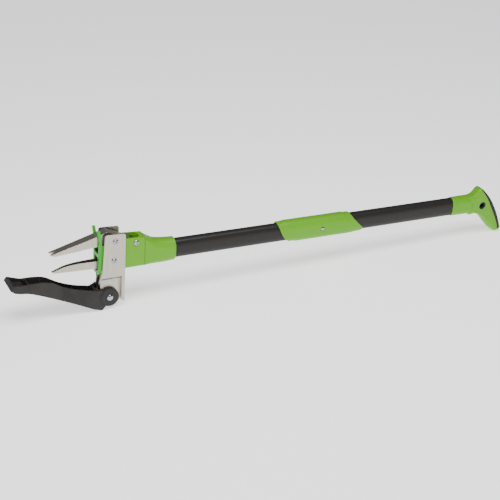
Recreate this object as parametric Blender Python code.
"""A stand-up hand weeder: an oval shaft with a T handle, a steel claw head, a foot pedal and a grip.

Everything is modelled in the tool's own axes: x runs along the shaft towards the handle, z points away
from the pedal, y runs across the tool, and the origin is on the shaft's axis at the mouth of the head.
At the end the whole tool is tilted a little and raised, so that it stands on its pedal heel and handle tip.
"""

import math

import bmesh
import bpy
from mathutils import Matrix, Vector

# ---------------------------------------------------------------- driving dimensions, in metres and degrees
GAP = 0.0003  # between pieces that touch
RUNNING = 0.0005  # between pieces that slide or turn on each other

# Shaft: an oval aluminium tube
SHAFT_HALF_HEIGHT = 0.0190
SHAFT_HALF_DEPTH = 0.0120
SHAFT_WALL = 0.0015
OVAL_POWER = 0.80  # 1 is an ellipse, less is squarer
SHAFT_IN_HEAD = 0.060
SHAFT_VISIBLE = 0.622
SHAFT_IN_HANDLE = 0.034

# Head: steel bracket, green housing
HEAD_WIDTH = 0.0336
PLATE = 0.0020
BRACKET_TOP = 0.0540
BRACKET_REAR = -0.1125
BRACKET_FRONT = -0.1525
JOGGLE_Z = -0.033
JOGGLE_RISE = 0.006
LOWER_HALF_WIDTH = 0.0130
PLATE_ROUND = 0.0150
FLANGE_FRONT = -0.1190
FLANGE_BOTTOM = -0.0860
HOUSING_FRONT = -0.1475
HOUSING_STEP = -0.0740
HOUSING_TOP = 0.0410
HOUSING_BOTTOM = -SHAFT_HALF_HEIGHT - 0.0025
HOUSING_REAR = -0.0100
CHEEK = 0.0043
SOCKET_WALL = 0.0045

# Upper claw: a fixed channel with a tail that drops into the housing
CLAW_SHEET = 0.0020
UPPER_HALF_WIDTH = 0.0100
UPPER_TIP = (-0.2500, 0.0240)
UPPER_KNEE = (-0.1490, 0.0550)
UPPER_TAIL = (-0.0975, 0.0355)
TOOTH_PITCH = 0.0060
TOOTH_DEPTH = 0.0021
TOOTH_COUNT = 8

# Lower claw: a narrower channel on a pivot, with a tail that a cam pushes
LOWER_CLAW_HALF_WIDTH = 0.0065
LOWER_TIP = (-0.2470, -0.0130)
LOWER_FLOOR = -0.0165
CLAW_PIVOT = (-0.1340, 0.0010)
CLAW_EAR = 0.0085
CLAW_SWING = 8.0

# Bolts of the head: place of the axis in x and z
UPPER_BOLT = (-0.1320, 0.0390)
HOUSING_BOLT = (-0.0910, 0.0300)
BOLT_RADIUS = 0.0025
BOLT_HEAD_RADIUS = 0.0052
BOLT_HEAD_HEIGHT = 0.0028
NUT_RADIUS = 0.0047
NUT_HEIGHT = 0.0034
SLEEVE_RADIUS = 0.0038

# Pedal: a moulded channel on a keyed pin
PEDAL_PIVOT = (-0.1420, -0.0730)
PEDAL_SWING = 90.0
PEDAL_WALL = 0.0030
PEDAL_ROOT_HALF_WIDTH = 0.0200
PEDAL_TIP_HALF_WIDTH = 0.0240
PEDAL_LENGTH = 0.1865
KNUCKLE_RADIUS = 0.0180
KNUCKLE_PROUD = 0.0010
FAR_WALL_DROP = 0.0080
HEEL = (-0.1560, -0.0980)
PIN_RADIUS = 0.0042
PIN_HEAD_RADIUS = 0.0059
PIN_HEAD_HEIGHT = 0.0024
BUSH_WALL = 0.0014
CAM_FOOT = 0.0030
CAM_FOOT_REACH = 0.0105
TIP_CLEARANCE = 0.0012

# Ejector: a slotted plate on a rod, moved by the grip
EJECTOR_REAR = -0.1570
EJECTOR_PLATE = 0.0055
EJECTOR_HALF_WIDTH = 0.0160
EJECTOR_BOTTOM = -0.0290
EJECTOR_TOP = 0.0620
EJECTOR_TRAVEL = 0.078
ROD_RADIUS = 0.0022
ROD_Z = 0.0100

# Grip: two half shells round the shaft
GRIP_START = 0.2060
GRIP_LENGTH = 0.1840
GRIP_WALL = 0.0040
GRIP_SCREW_X = 0.3060
GRIP_SCREW_RADIUS = 0.0020
GRIP_NUT_RADIUS = 0.0038
GRIP_NUT_HEIGHT = 0.0020

# Handle: a T with a black palm pad and an eyelet to hang it by
HANDLE_HALF_DEPTH = 0.0140
HANDLE_ROUND = 0.0075
EYELET_RADIUS = 0.0080
EYELET_HOLE = 0.0058
EYELET_OFFSET = (0.0765, -0.0030)

# ---------------------------------------------------------------- scene and materials
for old in list(bpy.data.objects):
    bpy.data.objects.remove(old)


def material(name, color, roughness, metallic=0.0):
    made = bpy.data.materials.new(name)
    made.use_nodes = True
    shader = made.node_tree.nodes["Principled BSDF"]
    shader.inputs["Base Color"].default_value = (*color, 1.0)
    shader.inputs["Roughness"].default_value = roughness
    shader.inputs["Metallic"].default_value = metallic
    return made


GREEN = (0.26, 0.53, 0.07)
STEEL = (0.55, 0.52, 0.49)
ZINC = (0.72, 0.73, 0.76)
BLACK = (0.02, 0.02, 0.02)
CHARCOAL = (0.045, 0.043, 0.045)
NYLON = (0.80, 0.79, 0.74)

# ---------------------------------------------------------------- outlines and meshes


def arc(centre, radius, start, end, steps):
    """Points on an arc in the x-z plane, by angles in degrees from +x towards +z."""
    turn = math.radians(end - start) / steps
    first = math.radians(start)
    return [
        (centre[0] + radius * math.cos(first + turn * i), centre[1] + radius * math.sin(first + turn * i))
        for i in range(steps + 1)
    ]


def curve_through(points, steps):
    """A smooth curve through the points (Catmull-Rom), with steps pieces between neighbours."""
    ends = [points[0]] + list(points) + [points[-1]]
    made = []
    for i in range(1, len(ends) - 2):
        a, b, c, d = (Vector(ends[i + k]) for k in (-1, 0, 1, 2))
        for k in range(steps):
            t = k / steps
            p = 2 * b + (c - a) * t + (2 * a - 5 * b + 4 * c - d) * t**2 + (3 * b - a - 3 * c + d) * t**3
            made.append(tuple(p / 2))
    return made + [tuple(points[-1])]


def rounded(points, radius, steps=3):
    """The same outline with every corner cut to an arc-like curve of about the given radius."""
    made = []
    for i, corner in enumerate(points):
        here = Vector(corner)
        before = Vector(points[i - 1]) - here
        after = Vector(points[(i + 1) % len(points)]) - here
        reach = min(radius, before.length * 0.45, after.length * 0.45)
        start = here + before.normalized() * reach
        end = here + after.normalized() * reach
        for k in range(steps + 1):
            t = k / steps
            made.append(tuple(start * (1 - t) ** 2 + here * 2 * t * (1 - t) + end * t**2))
    return made


def oval(half_depth, half_height, steps=28):
    """A full oval ring in the y-z plane, with small flats at its sides, top and bottom."""
    turn = 2 * math.pi / steps
    ring = []
    for i in range(steps):
        c, s = math.cos(turn * (i + 0.5)), math.sin(turn * (i + 0.5))
        across = math.copysign(abs(c) ** OVAL_POWER, c)
        high = math.copysign(abs(s) ** OVAL_POWER, s)
        ring.append((half_depth * across, half_height * high))
    return ring


def soft_box(half_width, top, bottom, top_corner, bottom_corner, steps=4):
    """A ring in the y-z plane: a box with corners of (across, high) radii."""
    ring = []
    corners = [
        (half_width, top, top_corner, 0),
        (-half_width, top, top_corner, 90),
        (-half_width, bottom, bottom_corner, 180),
        (half_width, bottom, bottom_corner, 270),
    ]
    for side, level, (across, high), start in corners:
        centre_y = side - math.copysign(across, side)
        centre_z = level - (high if level == top else -high)
        for k in range(steps + 1):
            angle = math.radians(start + 90 * k / steps)
            ring.append((centre_y + across * math.cos(angle), centre_z + high * math.sin(angle)))
    return ring


def loft(rings):
    """A closed body through rings of points, with flat ends."""
    mesh = bmesh.new()
    rows = [[mesh.verts.new(point) for point in ring] for ring in rings]
    count = len(rows[0])
    for row, following in zip(rows, rows[1:]):
        for i in range(count):
            j = (i + 1) % count
            mesh.faces.new((row[i], row[j], following[j], following[i]))
    mesh.faces.new(rows[0][::-1])
    mesh.faces.new(rows[-1])
    bmesh.ops.recalc_face_normals(mesh, faces=mesh.faces)
    return mesh


def three_sided(mesh):
    """The same body with only triangles, so that no face is twisted."""
    bmesh.ops.triangulate(mesh, faces=mesh.faces)
    return mesh


def prism(outline, low, high):
    """An x-z outline carried across the tool from y = low to y = high."""
    return loft([[(x, low, z) for x, z in outline], [(x, high, z) for x, z in outline]])


def plate_across(outline, front, rear):
    """A y-z outline carried along the tool from x = front to x = rear."""
    return loft([[(front, y, z) for y, z in outline], [(rear, y, z) for y, z in outline]])


def disc_stack(centre, profile, segments=20):
    """A turned piece on an axis across the tool. profile is a list of (y, radius)."""
    rings = []
    for y, radius in profile:
        rings.append([(x, y, z) for x, z in arc(centre, radius, 0, 360, segments)[:-1]])
    return loft(rings)


def bore_through(place, radius, segments):
    """A cutter for a round hole that passes right through the tool from side to side."""
    return disc_stack(place, [(-FAR, radius), (FAR, radius)], segments)


def tube_across(centre, outer, inner, low, high, segments=20):
    """A tube on an axis across the tool."""
    made = bmesh.new()
    rings = []
    for y, radius in ((low, outer), (high, outer), (high, inner), (low, inner)):
        ring = arc(centre, radius, 0, 360, segments)[:-1]
        rings.append([made.verts.new((x, y, z)) for x, z in ring])
    for here, there in zip(rings, rings[1:] + rings[:1]):
        for i in range(segments):
            j = (i + 1) % segments
            made.faces.new((here[i], here[j], there[j], there[i]))
    bmesh.ops.recalc_face_normals(made, faces=made.faces)
    return made


def sweep(path, radius, sides=8):
    """A round wire along a path of points."""
    rings = []
    for i, point in enumerate(path):
        along = (Vector(path[min(i + 1, len(path) - 1)]) - Vector(path[max(i - 1, 0)])).normalized()
        side = along.cross(Vector((0.3, 1.0, 0.2))).normalized()
        up = along.cross(side)
        turn = 2 * math.pi / sides
        centre = Vector(point)
        rings.append(
            [centre + (side * math.cos(turn * k) + up * math.sin(turn * k)) * radius for k in range(sides)]
        )
    return loft(rings)


def split(mesh, place, direction):
    """Adds edges where a plane crosses the mesh, so that it can be bent there."""
    whole = mesh.verts[:] + mesh.edges[:] + mesh.faces[:]
    bmesh.ops.bisect_plane(mesh, geom=whole, dist=1e-7, plane_co=place, plane_no=direction)


def taper(mesh, start, end, scale):
    """Narrows a mesh across the tool from full width at x = end to scale times it at x = start."""
    split(mesh, (end, 0, 0), (1, 0, 0))
    for vert in mesh.verts:
        share = min(max((vert.co.x - start) / (end - start), 0.0), 1.0)
        vert.co.y *= scale + (1.0 - scale) * share
    return mesh


# ---------------------------------------------------------------- the tool's frame and its moving frames
def empty(name, place=(0.0, 0.0, 0.0), parent=None):
    made = bpy.data.objects.new(name, None)
    bpy.context.scene.collection.objects.link(made)
    made.location = place
    made.parent = parent
    return made


def axis_point(pair):
    return Vector((pair[0], 0.0, pair[1]))


tool = empty("tool_frame")
pedal_frame = empty("pedal_frame", axis_point(PEDAL_PIVOT), tool)
claw_frame = empty("lower_claw_frame", axis_point(CLAW_PIVOT), tool)
ejector_frame = empty("ejector_frame", (0.0, 0.0, 0.0), tool)


def node(name, mesh, finish, parent=tool, smooth=35.0):
    """One solid of the tool. The mesh is given in the tool's axes."""
    if parent is not tool:
        mesh.transform(Matrix.Translation(-parent.location))
    data = bpy.data.meshes.new(name)
    mesh.to_mesh(data)
    mesh.free()
    made = bpy.data.objects.new(name, data)
    bpy.context.scene.collection.objects.link(made)
    made.parent = parent
    data.shade_smooth()
    data.set_sharp_from_angle(angle=math.radians(smooth))
    if finish:
        data.materials.append(finish)
    return made


def shape_with(target, mesh, operation, name):
    """Cuts or joins a mesh to a node with a Boolean. The second shape stays as a hidden guide."""
    guide = node(name, mesh, None, target.parent)
    guide.hide_render = True
    guide.display_type = "WIRE"
    boolean = target.modifiers.new(name, "BOOLEAN")
    boolean.operation = operation
    boolean.solver = "EXACT"
    boolean.object = guide
    return target


def cut(target, mesh, name):
    return shape_with(target, mesh, "DIFFERENCE", name)


def fuse(target, mesh, name):
    return shape_with(target, mesh, "UNION", name)


def box(low, high):
    (x0, y0, z0), (x1, y1, z1) = low, high
    return prism([(x0, z0), (x1, z0), (x1, z1), (x0, z1)], y0, y1)


FAR = 1.0  # longer than the tool is wide, for cutters that pass right through
SIDES = (("near", -1.0), ("far", 1.0))

green = material("green_plastic", GREEN, 0.45)
steel = material("stainless_sheet", STEEL, 0.32, 1.0)
zinc = material("zinc_plated_steel", ZINC, 0.30, 1.0)
black = material("black_plastic", BLACK, 0.50)
rubber = material("black_rubber", BLACK, 0.75)
charcoal = material("charcoal_coated_tube", CHARCOAL, 0.42)
nylon = material("natural_nylon", NYLON, 0.55)


def side_span(side, inner, outer):
    """The y range of a piece between two distances from the middle plane, on one side of the tool."""
    return sorted((side * inner, side * outer))


# ---------------------------------------------------------------- shaft
HOUSING_HALF = HEAD_WIDTH / 2
BRACKET_OUTER = HOUSING_HALF + GAP + PLATE
CAVITY_HALF = HOUSING_HALF - CHEEK
SHAFT_REAR = SHAFT_VISIBLE + SHAFT_IN_HANDLE
BORE_HALF_HEIGHT = SHAFT_HALF_HEIGHT - SHAFT_WALL
BORE_HALF_DEPTH = SHAFT_HALF_DEPTH - SHAFT_WALL


def oval_bar(half_depth, half_height, front, rear):
    return plate_across(oval(half_depth, half_height), front, rear)


def build_shaft():
    shaft = node(
        "shaft_tube", oval_bar(SHAFT_HALF_DEPTH, SHAFT_HALF_HEIGHT, -SHAFT_IN_HEAD, SHAFT_REAR), charcoal
    )
    bore = oval_bar(BORE_HALF_DEPTH, BORE_HALF_HEIGHT, -SHAFT_IN_HEAD - 0.01, SHAFT_REAR + 0.01)
    cut(shaft, bore, "shaft_bore")
    reach = GRIP_SCREW_RADIUS + RUNNING
    slot = arc((GRIP_SCREW_X, 0.0), reach, -90, 90, 6)
    slot += arc((GRIP_SCREW_X - EJECTOR_TRAVEL, 0.0), reach, 90, 270, 6)
    cut(shaft, prism(slot, -FAR, FAR), "grip_slot")


def guide_bush(name, front, length):
    """A nylon plug in the shaft's bore that carries the rod."""
    plug = oval_bar(BORE_HALF_DEPTH - GAP, BORE_HALF_HEIGHT - GAP, front, front + length)
    bush = node(name, plug, nylon)
    cut(bush, rod_along(front - 0.01, front + length + 0.01, ROD_RADIUS + RUNNING), name + "_hole")


def rod_along(front, rear, radius, segments=14):
    turn = 2 * math.pi / segments
    ring = [(radius * math.cos(turn * i), ROD_Z + radius * math.sin(turn * i)) for i in range(segments)]
    return plate_across(ring, front, rear)


# ---------------------------------------------------------------- housing
def build_housing():
    """Two green half shells: flat cheeks between the bracket's plates, then a socket round the shaft."""
    socket_depth = SHAFT_HALF_DEPTH + SOCKET_WALL
    socket_height = SHAFT_HALF_HEIGHT + SOCKET_WALL * 0.8
    half = HOUSING_HALF
    wide = HOUSING_HALF + 0.0010
    mid = -0.5 * SHAFT_IN_HEAD
    end = (socket_depth * 0.92, socket_height * 0.80)
    swell = (0.015, 0.018)
    step_top = HOUSING_TOP - 0.0035
    low = HOUSING_BOTTOM - 0.0008
    sections = [
        (HOUSING_FRONT, half, HOUSING_TOP + 0.001, HOUSING_BOTTOM, (0.003, 0.003), (0.006, 0.006)),
        (HOUSING_STEP, half, step_top, HOUSING_BOTTOM, (0.004, 0.004), (0.008, 0.008)),
        (HOUSING_STEP + 0.0006, wide, step_top, low, (0.007, 0.006), (0.011, 0.009)),
        (HOUSING_STEP + 0.012, wide, HOUSING_TOP - 0.010, low, (0.011, 0.010), (0.013, 0.012)),
        (mid * 1.65, wide, socket_height + 0.0030, HOUSING_BOTTOM - 0.001, (0.014, 0.014), (0.014, 0.014)),
        (mid, socket_depth + 0.0012, socket_height + 0.0006, -socket_height - 0.0006, swell, swell),
        (HOUSING_REAR, socket_depth, socket_height, -socket_height, end, end),
    ]
    for name, side in SIDES:
        rings = [
            [(x, y, z) for y, z in soft_box(w, top, bottom, upper, lower)]
            for x, w, top, bottom, upper, lower in sections
        ]
        shell = node("housing_" + name, three_sided(loft(rings)), green)
        cut(
            shell, box((HOUSING_FRONT - 0.01, -CAVITY_HALF, -0.05), (-0.100, CAVITY_HALF, 0.08)), "claw_bay"
        )
        chamber = box(
            (-0.101, -CAVITY_HALF, HOUSING_BOTTOM + 0.006), (-SHAFT_IN_HEAD + 0.0010, CAVITY_HALF, 0.026)
        )
        cut(shell, chamber, "tail_chamber")
        recess = [(-0.110, -0.0118), (-0.086, -0.0118), (-0.0805, -0.006), (-0.0805, 0.006)]
        recess += [(-0.086, 0.0118), (-0.110, 0.0118)]
        pocket = loft([[(x, y, z) for x, y in recess] for z in (0.020, 0.060)])
        cut(shell, pocket, "tail_recess")
        fit = oval_bar(SHAFT_HALF_DEPTH + GAP, SHAFT_HALF_HEIGHT + GAP, -SHAFT_IN_HEAD - GAP, 0.02)
        cut(shell, fit, "shaft_socket")
        for place in (UPPER_BOLT, CLAW_PIVOT, HOUSING_BOLT):
            cut(shell, bore_through(place, BOLT_RADIUS + GAP, 16), "bolt_hole")
        far_side = side_span(-side, -GAP / 2, 0.2)
        cut(shell, box((-0.2, far_side[0], -0.1), (0.1, far_side[1], 0.1)), "parting_plane")


# ---------------------------------------------------------------- bracket
def bracket_plate(side):
    """One steel side plate: pressed inwards below the joggle line, as far as the rear flange."""
    lower_rear = FLANGE_FRONT + PLATE / 2
    outline = rounded(
        [
            (BRACKET_FRONT, BRACKET_TOP), (BRACKET_REAR, BRACKET_TOP - 0.0015), (BRACKET_REAR, JOGGLE_Z)
        ], 0.0045
    )[:8]
    outline += [
        (BRACKET_REAR, JOGGLE_Z), (lower_rear, JOGGLE_Z - JOGGLE_RISE), (lower_rear, FLANGE_BOTTOM + 0.003)
    ]
    outline += arc(PEDAL_PIVOT, PLATE_ROUND, -68, -180, 8)
    outline += [(BRACKET_FRONT - 0.0062, PEDAL_PIVOT[1] + 0.020)]
    mesh = prism(outline, *side_span(side, BRACKET_OUTER - PLATE, BRACKET_OUTER))
    for level in (JOGGLE_Z, JOGGLE_Z - JOGGLE_RISE):
        split(mesh, (0, 0, level), (0, 0, 1))
    for vert in mesh.verts:
        if vert.co.z < JOGGLE_Z - JOGGLE_RISE + 1e-6:
            vert.co.y -= side * (BRACKET_OUTER - LOWER_HALF_WIDTH)
    return mesh


def build_bracket():
    """Two plates, two rear flanges that stay in the outer planes, and a web that ties the four together."""
    bracket = node("head_bracket", bracket_plate(-1.0), steel, smooth=30.0)
    fuse(bracket, bracket_plate(1.0), "far_plate")
    sunk = 0.00005
    for name, side in SIDES:
        span = side_span(side, BRACKET_OUTER - PLATE + sunk, BRACKET_OUTER - sunk)
        rear = BRACKET_REAR - sunk
        flange = [(FLANGE_FRONT, JOGGLE_Z + 0.003), (FLANGE_FRONT, FLANGE_BOTTOM + 0.004)]
        flange += [(rear - 0.001, FLANGE_BOTTOM), (rear, FLANGE_BOTTOM + 0.001), (rear, JOGGLE_Z + 0.003)]
        fuse(bracket, prism(flange, *span), "flange_" + name)
    reach = BRACKET_OUTER - PLATE / 2
    front_corner = (FLANGE_FRONT + sunk, -reach, FLANGE_BOTTOM + 0.005)
    web = box(front_corner, (FLANGE_FRONT + PLATE, reach, JOGGLE_Z - 0.001))
    fuse(bracket, web, "rear_web")
    bush_hole = PIN_RADIUS + RUNNING + BUSH_WALL + GAP
    cut(bracket, bore_through(PEDAL_PIVOT, bush_hole, 24), "pin_holes")
    for place in (UPPER_BOLT, CLAW_PIVOT):
        cut(bracket, bore_through(place, BOLT_RADIUS + GAP, 16), "bolt_holes")


# ---------------------------------------------------------------- claws
def build_upper_claw():
    """A channel bent over at the knee, with saw teeth on both lower edges and a forked tip."""
    teeth = []
    first = UPPER_TIP[0] + 0.011
    for i in range(TOOTH_COUNT):
        x = first + TOOTH_PITCH * i
        z = UPPER_TIP[1] - 0.0038 + 0.085 * (x - first)
        teeth += [(x, z), (x + TOOTH_PITCH * 0.6, z + TOOTH_DEPTH)]
    root = [
        (-0.163, 0.0285), (-0.146, 0.0300), (-0.112, 0.0300), (UPPER_TAIL[0] + 0.001, UPPER_TAIL[1] - 0.004)
    ]
    top = [UPPER_TAIL, (-0.1400, 0.0540), (-0.1450, 0.0555), UPPER_KNEE, (-0.1600, 0.0500)]
    outline = [(UPPER_TIP[0], UPPER_TIP[1] - 0.0012)] + teeth + root + top + [UPPER_TIP]
    under = [UPPER_TAIL] + top[1:] + [(UPPER_TIP[0] + 0.012, UPPER_TIP[1] + 0.004)]
    inside = [(x, z - CLAW_SHEET) for x, z in under]
    inside[0] = (UPPER_TAIL[0] + 0.01, UPPER_TAIL[1] - 0.006)
    inside += [(UPPER_TIP[0] + 0.010, -0.05), (UPPER_TAIL[0] + 0.01, -0.05)]
    body = taper(prism(outline, -UPPER_HALF_WIDTH, UPPER_HALF_WIDTH), UPPER_TIP[0], UPPER_KNEE[0], 0.80)
    claw = node("upper_claw", body, steel, smooth=25.0)
    hollow = UPPER_HALF_WIDTH - CLAW_SHEET
    cut(claw, taper(prism(inside, -hollow, hollow), UPPER_TIP[0], UPPER_KNEE[0], 0.75), "upper_channel")
    notch = [(UPPER_TIP[0] - 0.01, -0.0075), (UPPER_TIP[0] - 0.01, 0.0075), (UPPER_TIP[0] + 0.012, 0.0)]
    cut(claw, loft([[(x, y, z) for x, y in notch] for z in (-0.05, 0.1)]), "tip_fork")
    hole = BOLT_RADIUS + GAP
    cut(claw, bore_through(UPPER_BOLT, hole, 16), "upper_claw_hole")


def turned_about(point, centre, degrees):
    """A point in the x-z plane turned about +y by the right-hand rule."""
    x, z = point[0] - centre[0], point[1] - centre[1]
    c, s = math.cos(math.radians(degrees)), math.sin(math.radians(degrees))
    return (centre[0] + x * c + z * s, centre[1] - x * s + z * c)


CAM_START = (PEDAL_PIVOT[0] - CAM_FOOT_REACH, PEDAL_PIVOT[1] + 0.001)


def build_lower_claw():
    """A channel that opens upwards, its two ears on the pivot and its tail down to the cam."""
    foot = arc(CAM_START, CAM_FOOT, 140, 400, 10)
    top = [LOWER_TIP, (-0.2410, -0.0112), (-0.2310, -0.0074)]
    top += [(-0.2190, -0.0042), (-0.1980, -0.0020), (-0.1700, -0.0016)]
    ears = [(-0.1500, -0.0014)] + arc(CLAW_PIVOT, CLAW_EAR, 140, -30, 8)
    tail_rear = [(-0.1330, -0.0200), (-0.1450, -0.0500), (-0.1518, -0.0600), (-0.1520, -0.0670)]
    tail_front = [(-0.1562, -0.0650), (-0.1545, -0.0500), (-0.1490, -0.0220)]
    floor = [(-0.1520, LOWER_FLOOR), (-0.2420, LOWER_FLOOR + 0.0008)]
    outline = curve_through(top, 2) + ears + tail_rear + foot[::-1] + tail_front + floor
    half = LOWER_CLAW_HALF_WIDTH
    body = taper(prism(outline, -half, half), LOWER_TIP[0], -0.170, 0.45)
    claw = node("lower_claw", body, steel, claw_frame, smooth=25.0)
    inner_floor = LOWER_FLOOR + CLAW_SHEET
    inside = [
        (-0.2400, inner_floor + 0.0012), (-0.1480, inner_floor), (-0.1462, -0.0230), (-0.1520, -0.0500)
    ]
    inside += [(-0.1535, -0.0600), (-0.110, -0.0600), (-0.110, 0.030), (-0.2400, 0.030)]
    hollow = half - CLAW_SHEET
    cut(claw, taper(prism(inside, -hollow, hollow), LOWER_TIP[0], -0.170, 0.35), "lower_channel")
    hole = SLEEVE_RADIUS + RUNNING / 2
    cut(claw, bore_through(CLAW_PIVOT, hole, 20), "claw_pivot_hole")
    build_claw_spring()


def build_claw_spring():
    """A torsion spring round the pivot sleeve that opens the lower claw."""
    wire = 0.0006
    coil = SLEEVE_RADIUS + wire + GAP
    turns = 3.52
    steps = 35
    path = [(CLAW_PIVOT[0] - 0.0125, -0.0030, LOWER_FLOOR + CLAW_SHEET + wire + GAP)]
    for i in range(steps + 1):
        angle = math.radians(250) - 2 * math.pi * turns * i / steps
        y = -0.0030 + 0.0060 * i / steps
        path.append((CLAW_PIVOT[0] + coil * math.cos(angle), y, CLAW_PIVOT[1] + coil * math.sin(angle)))
    path.append((CLAW_PIVOT[0] + 0.0120, 0.0030, CLAW_PIVOT[1] - 0.0030))
    node("claw_spring", sweep(path, wire, 6), zinc, claw_frame, 60.0)


# ---------------------------------------------------------------- bolts, nuts, sleeves
def head_bolt(name, place, seat, reach):
    """A pan head screw from the near side: head outside the seat, shank to y = reach."""
    crown = seat + BOLT_HEAD_HEIGHT
    profile = [(-crown, BOLT_HEAD_RADIUS * 0.62), (-crown + 0.0008, BOLT_HEAD_RADIUS * 0.90)]
    profile += [(-seat - 0.0008, BOLT_HEAD_RADIUS), (-seat, BOLT_HEAD_RADIUS)]
    profile += [(-seat, BOLT_RADIUS), (reach, BOLT_RADIUS)]
    bolt = node(name, disc_stack(place, profile, 20), zinc)
    arm, width = BOLT_HEAD_RADIUS * 0.48, 0.0006
    for turn in (35, 125):
        c, s = math.cos(math.radians(turn)), math.sin(math.radians(turn))
        corners = [(arm, width), (-arm, width), (-arm, -width), (arm, -width)]
        slot = [(place[0] + x * c - z * s, place[1] + x * s + z * c) for x, z in corners]
        cut(bolt, prism(slot, -crown - 0.01, -crown + 0.0013), "cross_recess")


def hex_nut(name, place, seat, radius=NUT_RADIUS, bore=BOLT_RADIUS):
    nut = node(name, disc_stack(place, [(seat, radius), (seat + NUT_HEIGHT, radius)], 6), zinc, smooth=20.0)
    cut(nut, bore_through(place, bore + GAP, 16), "nut_bore")


def build_fasteners():
    outer = BRACKET_OUTER + GAP
    end = outer + NUT_HEIGHT + 0.0010
    head_bolt("upper_claw_bolt", UPPER_BOLT, outer, end)
    hex_nut("upper_claw_nut", UPPER_BOLT, outer)
    head_bolt("pivot_bolt", CLAW_PIVOT, outer, end)
    hex_nut("pivot_nut", CLAW_PIVOT, outer)
    seat = HOUSING_HALF + GAP
    head_bolt("housing_screw", HOUSING_BOLT, seat, seat + NUT_HEIGHT + 0.0010)
    hex_nut("housing_nut", HOUSING_BOLT, seat)
    bore = BOLT_RADIUS + GAP
    inner = CAVITY_HALF - GAP
    node("pivot_sleeve", tube_across(CLAW_PIVOT, SLEEVE_RADIUS, bore, -inner, inner), steel)
    node("claw_spacer_tube", tube_across(UPPER_BOLT, SLEEVE_RADIUS, bore, *upper_gap()), steel)
    for name, side in SIDES:
        span = side_span(side, LOWER_CLAW_HALF_WIDTH + RUNNING, inner)
        ring = tube_across(CLAW_PIVOT, SLEEVE_RADIUS + 0.0022, SLEEVE_RADIUS + GAP, *span)
        node("pivot_spacer_" + name, ring, nylon)
        span = side_span(side, UPPER_HALF_WIDTH + GAP, inner)
        node("claw_washer_" + name, tube_across(UPPER_BOLT, 0.0060, bore, *span), nylon)


def upper_gap():
    half = UPPER_HALF_WIDTH - CLAW_SHEET - GAP
    return -half, half


# ---------------------------------------------------------------- pedal
def build_pedal():
    """A moulded channel with cross ribs, two knuckles outside the bracket and room for its tip."""
    x, z = PEDAL_PIVOT
    tip = x - PEDAL_LENGTH
    top = [(x - 0.016, z + 0.0165), (x - 0.028, z + 0.0180)]
    tread = ((0.3164, 0.0250), (0.4611, 0.0350), (0.6005, 0.0490), (0.7131, 0.0528), (0.8579, 0.0530))
    top += [(x - PEDAL_LENGTH * share, z + height) for share, height in tread]
    top += [(tip + 0.006, z + 0.0540)]
    sole = ((0.9035, 0.0375), (0.7748, 0.0320), (0.4665, 0.0070))
    bottom = [(tip + 0.008, z + 0.0400)]
    bottom += [(x - PEDAL_LENGTH * share, z + height) for share, height in sole]
    bottom += [(x - 0.030, z - 0.0205), HEEL]
    widest = x - PEDAL_LENGTH * 0.3217
    root = [(HEEL[0] + 0.007, HEEL[1] + 0.009), (x, z - 0.010), (x, z + 0.010)]
    outline = curve_through(top, 3) + [(tip, z + 0.0460)] + curve_through(bottom[:-1], 3) + [HEEL] + root
    wide = PEDAL_TIP_HALF_WIDTH / PEDAL_ROOT_HALF_WIDTH
    half = PEDAL_ROOT_HALF_WIDTH
    pedal = node("foot_pedal", taper(prism(outline, -half, half), tip, widest, wide), black, pedal_frame)
    well = [(px, pz + PEDAL_WALL) for px, pz in curve_through(bottom[:-1], 2)]
    well = [(max(px, tip + 0.007), pz) for px, pz in well]
    well += [(x - 0.026, z + 0.06), (tip + 0.007, z + 0.08)]
    inner = half - PEDAL_WALL
    cut(pedal, taper(prism(well, -inner, inner), tip, widest, wide), "pedal_well")
    for k, share in enumerate((0.34, 0.50, 0.66, 0.82)):
        place = x - PEDAL_LENGTH * share
        floor = z - 0.030 + share * 0.077
        rib = box(
            (place - 0.001, -half + 0.001, floor + 0.004), (place + 0.001, half - 0.001, floor + 0.018)
        )
        fuse(pedal, rib, "pedal_rib_%d" % k)
    outer = half + KNUCKLE_PROUD
    fuse(
        pedal, disc_stack(PEDAL_PIVOT, [(-outer, KNUCKLE_RADIUS), (outer, KNUCKLE_RADIUS)], 32), "knuckles"
    )
    clear = math.dist(PEDAL_PIVOT, (FLANGE_FRONT + PLATE, FLANGE_BOTTOM)) + TIP_CLEARANCE
    slot = LOWER_HALF_WIDTH + RUNNING
    cut(pedal, disc_stack(PEDAL_PIVOT, [(-slot, clear), (slot, clear)], 48), "bracket_slot")
    trim = [(px, pz - FAR_WALL_DROP * min(1.0, (px - tip) / 0.030)) for px, pz in curve_through(top[1:], 3)]
    trim = [(x - 0.0175, z + 0.0150)] + trim + [
        (tip - 0.01, z + 0.0545), (tip - 0.01, 0.02), (x - 0.0175, 0.02)
    ]
    cut(pedal, prism(trim, 0.010, FAR), "far_wall_trim")
    hole = PIN_RADIUS + GAP
    cut(pedal, bore_through(PEDAL_PIVOT, hole, 20), "pin_hole")
    build_pin(outer + GAP)
    build_cam()


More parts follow.
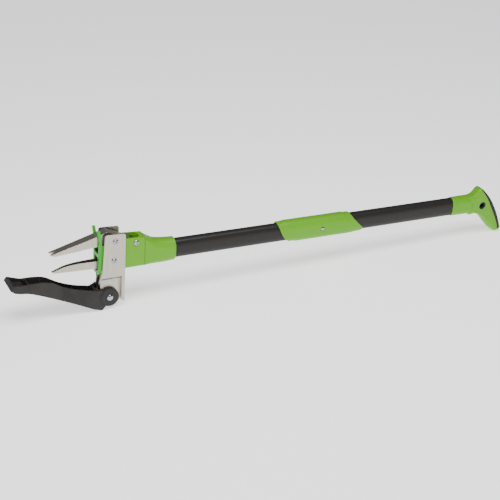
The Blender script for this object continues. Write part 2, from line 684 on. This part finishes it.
def build_pin(seat):
    """The pivot pin: a rivet with a domed head on each side, keyed to the pedal and the cam."""
    angles = (0.0, 0.5, 0.95, 1.35)
    dome = [(seat + PIN_HEAD_HEIGHT * math.sin(a), PIN_HEAD_RADIUS * math.cos(a)) for a in angles]
    profile = [(-y, r) for y, r in dome[::-1]] + [(-seat, PIN_RADIUS), (seat, PIN_RADIUS)] + dome
    node("pedal_pin", disc_stack(PEDAL_PIVOT, profile, 20), zinc, pedal_frame)
    for name, side in SIDES:
        span = side_span(side, LOWER_HALF_WIDTH - PLATE, LOWER_HALF_WIDTH)
        bore = PIN_RADIUS + RUNNING
        node("pin_bush_" + name, tube_across(PEDAL_PIVOT, bore + BUSH_WALL, bore, *span), nylon)


def build_cam():
    """A cam whose edge lets the claw's foot follow the pedal at a constant ratio."""
    ratio = CLAW_SWING / PEDAL_SWING
    steps = 26
    spread = PEDAL_SWING + 8.0
    pitch = []
    for i in range(steps + 1):
        swing = -6.0 + spread * i / steps
        foot = turned_about(CAM_START, CLAW_PIVOT, swing * ratio)
        pitch.append(Vector(turned_about(foot, PEDAL_PIVOT, swing)))
    edge = []
    for i, point in enumerate(pitch):
        along = (pitch[min(i + 1, steps)] - pitch[max(i - 1, 0)]).normalized()
        normal = Vector((-along.y, along.x))
        if normal.dot(point - Vector(PEDAL_PIVOT)) > 0:
            normal = -normal
        edge.append(tuple(point + normal * (CAM_FOOT + GAP)))
    base = (Vector(edge[0]) - Vector(PEDAL_PIVOT)).length
    last = Vector(edge[-1]) - Vector(PEDAL_PIVOT)
    first = Vector(edge[0]) - Vector(PEDAL_PIVOT)
    start = math.degrees(math.atan2(last.y, last.x)) - 14.0
    end = math.degrees(math.atan2(first.y, first.x)) - 360.0 + 6.0
    outline = edge + arc(PEDAL_PIVOT, base, start, end, 14)
    half = LOWER_CLAW_HALF_WIDTH
    cam = node("pedal_cam", prism(outline, -half, half), zinc, pedal_frame, 25.0)
    hole = PIN_RADIUS + GAP
    cut(cam, bore_through(PEDAL_PIVOT, hole, 20), "cam_bore")


# ---------------------------------------------------------------- ejector
def build_ejector():
    """A slotted plate that straddles both claws, with two ears above the upper one and a rearward skirt."""
    front = EJECTOR_REAR - EJECTOR_PLATE
    half, low, top = EJECTOR_HALF_WIDTH, EJECTOR_BOTTOM, EJECTOR_TOP
    upper_slot = UPPER_HALF_WIDTH + 0.0010
    seat = ROD_Z + ROD_RADIUS + 0.0018
    outline = [
        (half, top - 0.003), (half - 0.0015, top), (upper_slot + 0.0012, top), (upper_slot, top - 0.002)
    ]
    outline += [(upper_slot, 0.040), (upper_slot, seat), (-upper_slot, seat), (-upper_slot, 0.040)]
    outline += [
        (-upper_slot, top - 0.002), (-upper_slot - 0.0012, top), (-half + 0.0015, top), (-half, top - 0.003)
    ]
    outline += [(-half, 0.040), (-half, low + 0.012), (-half + 0.004, low + 0.004), (-half + 0.010, low)]
    outline += [(half - 0.010, low), (half - 0.004, low + 0.004), (half, low + 0.012), (half, 0.040)]
    mesh = plate_across(outline, front, EJECTOR_REAR)
    split(mesh, (0, 0, 0.040), (0, 0, 1))
    for vert in mesh.verts:
        vert.co.x -= max(vert.co.z - 0.040, 0.0) * 0.16
    plate = node("ejector_plate", mesh, green, ejector_frame, 30.0)
    lower_half = LOWER_CLAW_HALF_WIDTH + 0.0018
    slot = rounded(
        [(lower_half, 0.0066), (-lower_half, 0.0066), (-lower_half, -0.0215), (lower_half, -0.0215)], 0.003
    )
    cut(plate, plate_across(slot, front - 0.01, EJECTOR_REAR + 0.01), "lower_slot")
    skirt_outer = half - 0.0006
    skirt_rear = HOUSING_FRONT - 0.0010
    for name, side in SIDES:
        span = side_span(side, skirt_outer - 0.0022, skirt_outer)
        skirt = box((EJECTOR_REAR - 0.001, span[0], -0.018), (skirt_rear, span[1], 0.032))
        fuse(plate, skirt, "skirt_" + name)
    boss = rod_along(EJECTOR_REAR - 0.001, EJECTOR_REAR + 0.006, ROD_RADIUS + 0.0016)
    fuse(plate, boss, "rod_boss")
    cut(plate, rod_along(front + 0.002, EJECTOR_REAR + 0.02, ROD_RADIUS + GAP), "rod_socket")
    rod_front = front + 0.002 + GAP
    carrier_rear = GRIP_SCREW_X + 0.016
    node("push_rod", rod_along(rod_front, carrier_rear - 0.004, ROD_RADIUS), zinc, ejector_frame)
    carrier_front = GRIP_SCREW_X - 0.016
    block = oval_bar(BORE_HALF_DEPTH - RUNNING, BORE_HALF_HEIGHT - RUNNING, carrier_front, carrier_rear)
    carrier = node("rod_carrier", block, nylon, ejector_frame)
    rod_hole = rod_along(carrier_front - 0.01, carrier_rear - 0.004 + GAP, ROD_RADIUS + GAP)
    cut(carrier, rod_hole, "carrier_rod_hole")
    screw_hole = GRIP_SCREW_RADIUS + GAP
    centre = (GRIP_SCREW_X, 0.0)
    cut(carrier, bore_through(centre, screw_hole, 14), "carrier_screw_hole")


# ---------------------------------------------------------------- grip
def level_line(points, z):
    """Reads x at a height z from a line of (x, z) points that runs downwards."""
    for (x0, z0), (x1, z1) in zip(points, points[1:]):
        if z >= z1:
            share = min(max((z0 - z) / (z0 - z1), 0.0), 1.0)
            return x0 + (x1 - x0) * share
    return points[-1][0]


def build_grip():
    """Two half shells with scalloped ends, clamped round the shaft by one screw through its slots."""
    depth = SHAFT_HALF_DEPTH + GRIP_WALL * 0.9
    height = SHAFT_HALF_HEIGHT + GRIP_WALL
    start, end = GRIP_START, GRIP_START + GRIP_LENGTH
    front = [(start, height), (start + 0.0035, 0.012), (start + 0.0090, 0.0), (start + 0.0165, -0.011)]
    front += [(start + 0.028, -0.020), (start + 0.029, -height)]
    rear = [(end - 0.020, height), (end - 0.013, 0.013), (end - 0.002, 0.001), (end + 0.009, -0.009)]
    rear += [(end + 0.012, -0.014), (end + 0.008, -0.0185), (end - 0.012, -height)]
    stations = [
        (0.0, 0.72), (0.085, 0.76), (0.105, 1.0), (0.30, 1.0), (0.55, 0.97), (0.80, 1.0), (0.90, 1.0)
    ]
    stations += [(0.92, 0.76), (1.0, 0.72)]
    bore_depth = SHAFT_HALF_DEPTH + RUNNING
    bore_height = SHAFT_HALF_HEIGHT + RUNNING
    centre = (GRIP_SCREW_X, 0.0)
    for name, side in SIDES:
        rings = []
        for share, swell in stations:
            wall_y = bore_depth + (depth - bore_depth) * swell
            wall_z = bore_height + (height - bore_height) * swell
            ring = []
            for y, z in oval(wall_y, wall_z, 36):
                first = level_line(front, z)
                ring.append((first + share * (level_line(rear, z) - first), y, z))
            rings.append(ring)
        shell = node("grip_" + name, three_sided(loft(rings)), green, ejector_frame)
        bore = oval_bar(bore_depth, bore_height, GRIP_START - 0.05, GRIP_START + GRIP_LENGTH + 0.1)
        cut(shell, bore, "grip_bore")
        hole = GRIP_SCREW_RADIUS + GAP
        cut(shell, bore_through(centre, hole, 14), "grip_hole")
        sink = depth - 0.0022
        low, high = side_span(side, sink, 0.05)
        cut(shell, disc_stack(centre, [(low, 0.0046), (high, 0.0046)], 20), "grip_counterbore")
        other = side_span(-side, -GAP / 2, 0.1)
        cut(shell, box((0.1, other[0], -0.1), (0.6, other[1], 0.1)), "grip_parting")
    seat = depth - 0.0022 + GAP
    screw = [(-seat - 0.0020, 0.0022), (-seat - 0.0014, 0.0036), (-seat, 0.0040)]
    screw += [(-seat, GRIP_SCREW_RADIUS), (seat + 0.0018, GRIP_SCREW_RADIUS)]
    node("grip_screw", disc_stack(centre, screw, 16), zinc, ejector_frame)
    hexagon = disc_stack(centre, [(seat, GRIP_NUT_RADIUS), (seat + GRIP_NUT_HEIGHT, GRIP_NUT_RADIUS)], 6)
    nut = node("grip_nut", hexagon, zinc, ejector_frame, 20.0)
    cut(nut, bore_through(centre, GRIP_SCREW_RADIUS + GAP, 14), "grip_nut_bore")


# ---------------------------------------------------------------- handle
def handle_lines():
    """The palm line between handle and pad, the pad's outer line, and the handle's front edge."""
    x = SHAFT_VISIBLE
    palm = [(0.0640, 0.0440), (0.0700, 0.0345), (0.0780, 0.0250), (0.0890, 0.0100), (0.1020, -0.0120)]
    palm += [(0.1150, -0.0350), (0.1245, -0.0560), (0.1300, -0.0800)]
    crown = [(0.0710, 0.0362), (0.0820, 0.0280), (0.0985, 0.0110), (0.1145, -0.0120), (0.1275, -0.0360)]
    crown += [(0.1360, -0.0570), (0.1375, -0.0650)]
    front = [(0.1310, -0.0700), (0.1240, -0.0712), (0.1150, -0.0660), (0.0990, -0.0505), (0.0815, -0.0315)]
    front += [(0.0700, -0.0235), (0.0600, -0.0205), (0.0450, -0.0190), (0.0450, 0.0190)]
    upper = [(0.0540, 0.0210), (0.0600, 0.0255), (0.0650, 0.0325)]
    lines = []
    for points, steps in ((palm, 2), (crown, 2), (front, 2), (upper, 2)):
        lines.append([(x + px, pz) for px, pz in curve_through(points, steps)])
    return lines


def rounded_head(name, finish):
    """The whole rounded head of the T, from which the palm line cuts the handle or the pad."""
    palm, crown, front, upper = handle_lines()
    head = node(
        name, prism(upper + crown + front, -HANDLE_HALF_DEPTH, HANDLE_HALF_DEPTH), finish, smooth=50.0
    )
    round_edges = head.modifiers.new("round_edges", "BEVEL")
    round_edges.width = HANDLE_ROUND
    round_edges.segments = 3
    round_edges.limit_method = "ANGLE"
    round_edges.angle_limit = math.radians(50)
    return head


def build_handle():
    palm = handle_lines()[0]
    x = SHAFT_VISIBLE
    handle = rounded_head("handle", green)
    collar_depth, collar_height = SHAFT_HALF_DEPTH + 0.0016, SHAFT_HALF_HEIGHT + 0.0012
    neck = []
    for along, depth, height in (
        (0.0, 0.0, 0.0), (0.030, 0.0002, 0.0004), (0.056, 0.0002, 0.0008), (0.068, -0.001, 0.0)
    ):
        neck.append([(x + along, y, z) for y, z in oval(collar_depth + depth, collar_height + height, 28)])
    fuse(handle, loft(neck), "neck")
    beyond = [(x + 0.20, -0.10), (x + 0.20, 0.06), (x + 0.064, 0.06)]
    cut(handle, prism(palm + beyond, -FAR, FAR), "palm_cut")
    fit = oval_bar(SHAFT_HALF_DEPTH + GAP, SHAFT_HALF_HEIGHT + GAP, x - 0.01, SHAFT_REAR + GAP)
    cut(handle, fit, "handle_socket")
    eye = (x + EYELET_OFFSET[0], EYELET_OFFSET[1])
    cut(handle, bore_through(eye, EYELET_RADIUS + GAP, 24), "eyelet_hole")
    lip = HANDLE_HALF_DEPTH - GAP
    node("hanging_eyelet", tube_across(eye, EYELET_RADIUS, EYELET_HOLE, -lip, lip, 24), black)
    pad = rounded_head("palm_pad", rubber)
    inner = [(px + GAP, pz + GAP / 2) for px, pz in palm]
    before = [(x + 0.10, -0.12), (x, -0.12), (x, 0.08), (x + 0.06, 0.08)]
    cut(pad, prism(inner + before, -FAR, FAR), "pad_cut")


# ---------------------------------------------------------------- standing the tool on the ground
def solid_points(names):
    """The world places of the finished vertices of some nodes."""
    bpy.context.view_layer.update()
    graph = bpy.context.evaluated_depsgraph_get()
    points = []
    for name in names:
        seen = bpy.data.objects[name].evaluated_get(graph)
        data = seen.to_mesh()
        points += [seen.matrix_world @ vert.co for vert in data.vertices]
        seen.to_mesh_clear()
    return points


def stand_on_ground():
    """Tilts the tool until its pedal heel and its handle tip are level, then rests it at z = 0, centred."""
    heel = solid_points(["foot_pedal"])
    tip = solid_points(["handle", "palm_pad"])
    lean = 0.0
    for _ in range(12):
        turn = Matrix.Rotation(lean, 4, "Y")
        low_heel = min((turn @ p for p in heel), key=lambda p: p.z)
        low_tip = min((turn @ p for p in tip), key=lambda p: p.z)
        lean += math.atan2(low_tip.z - low_heel.z, low_tip.x - low_heel.x)
    tool.rotation_euler = (0.0, lean, 0.0)
    names = [o.name for o in bpy.data.objects if o.type == "MESH" and not o.hide_render]
    points = solid_points(names)
    middle = (min(p.x for p in points) + max(p.x for p in points)) / 2
    tool.location = (-middle, 0.0, -min(p.z for p in points))


build_shaft()
guide_bush("rod_guide_front", -SHAFT_IN_HEAD + 0.002, 0.012)
guide_bush("rod_guide_rear", 0.150, 0.010)
build_housing()
build_bracket()
build_upper_claw()
build_lower_claw()
build_fasteners()
build_pedal()
build_ejector()
build_grip()
build_handle()
stand_on_ground()
